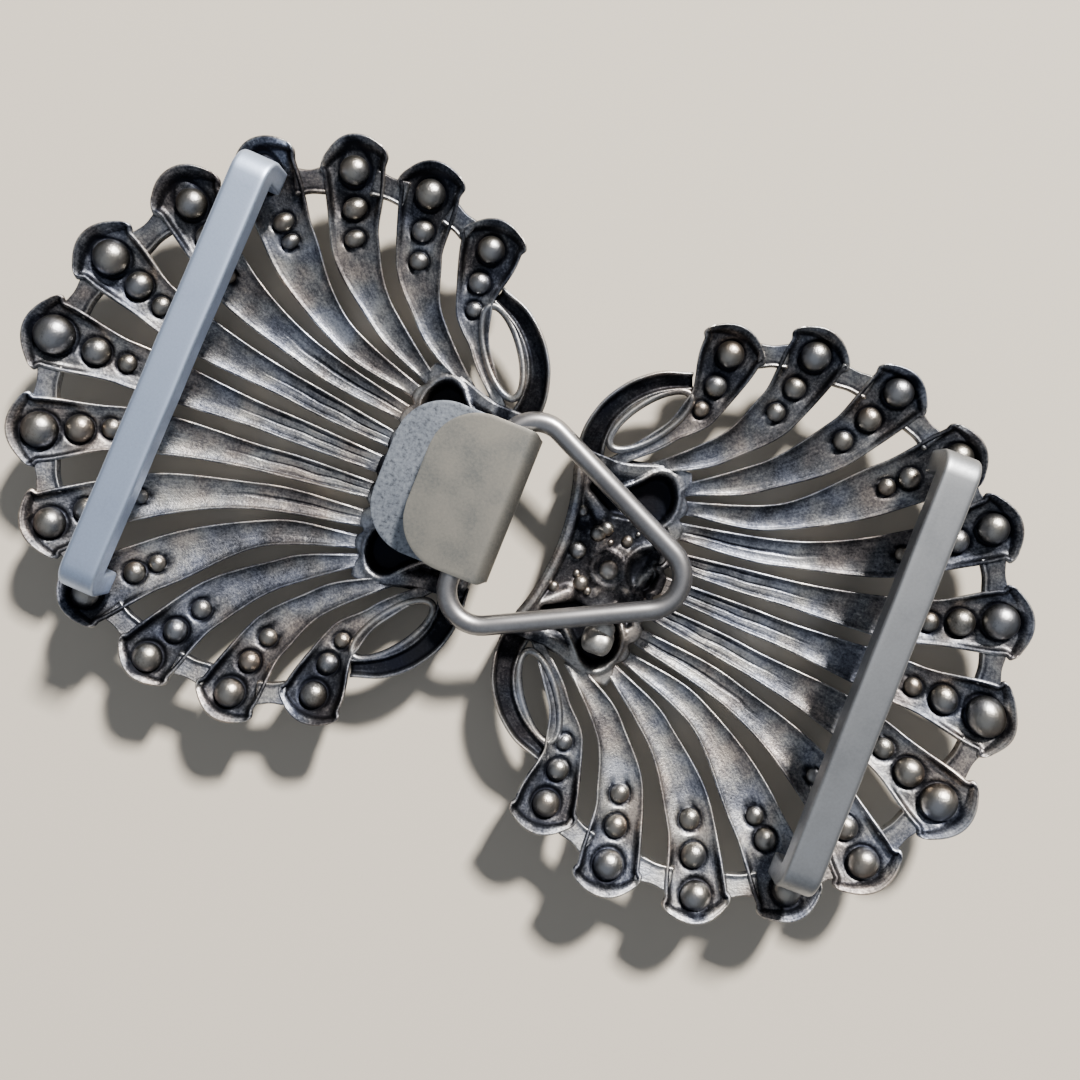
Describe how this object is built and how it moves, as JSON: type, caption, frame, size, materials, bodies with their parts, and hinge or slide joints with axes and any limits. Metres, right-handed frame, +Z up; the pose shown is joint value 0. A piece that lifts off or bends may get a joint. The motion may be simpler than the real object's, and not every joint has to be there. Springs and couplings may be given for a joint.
{
  "type": "apron clasp",
  "caption": "Fastened apron clasp: two pierced, beaded cast fan halves with strap bars, joined at the hubs by a folded plate hook and a triangular wire ring.",
  "frame": {"origin": "bottom centre of the bounding box: midway between the two halves, on the surface that the fronts lie on", "axes": "+X from the hook half to the ring half, +Y across the clasp, +Z up, out of its back"},
  "size_m": [0.0796, 0.0452, 0.0098],
  "materials": {
    "hook_shell": "cast, silvered and blackened in its hollows",
    "ring_shell": "cast, silvered and blackened in its hollows",
    "hook": "satin sheet",
    "ring": "satin wire",
    "hook_side_bar": "satin strip",
    "ring_side_bar": "satin strip"
  },
  "bodies": {
    "root": {"hook_shell": "hook_shell", "ring_shell": "ring_shell", "hook": "hook", "ring": "ring", "hook_side_bar": "hook_side_bar", "ring_side_bar": "ring_side_bar"}
  },
  "joints": []
}
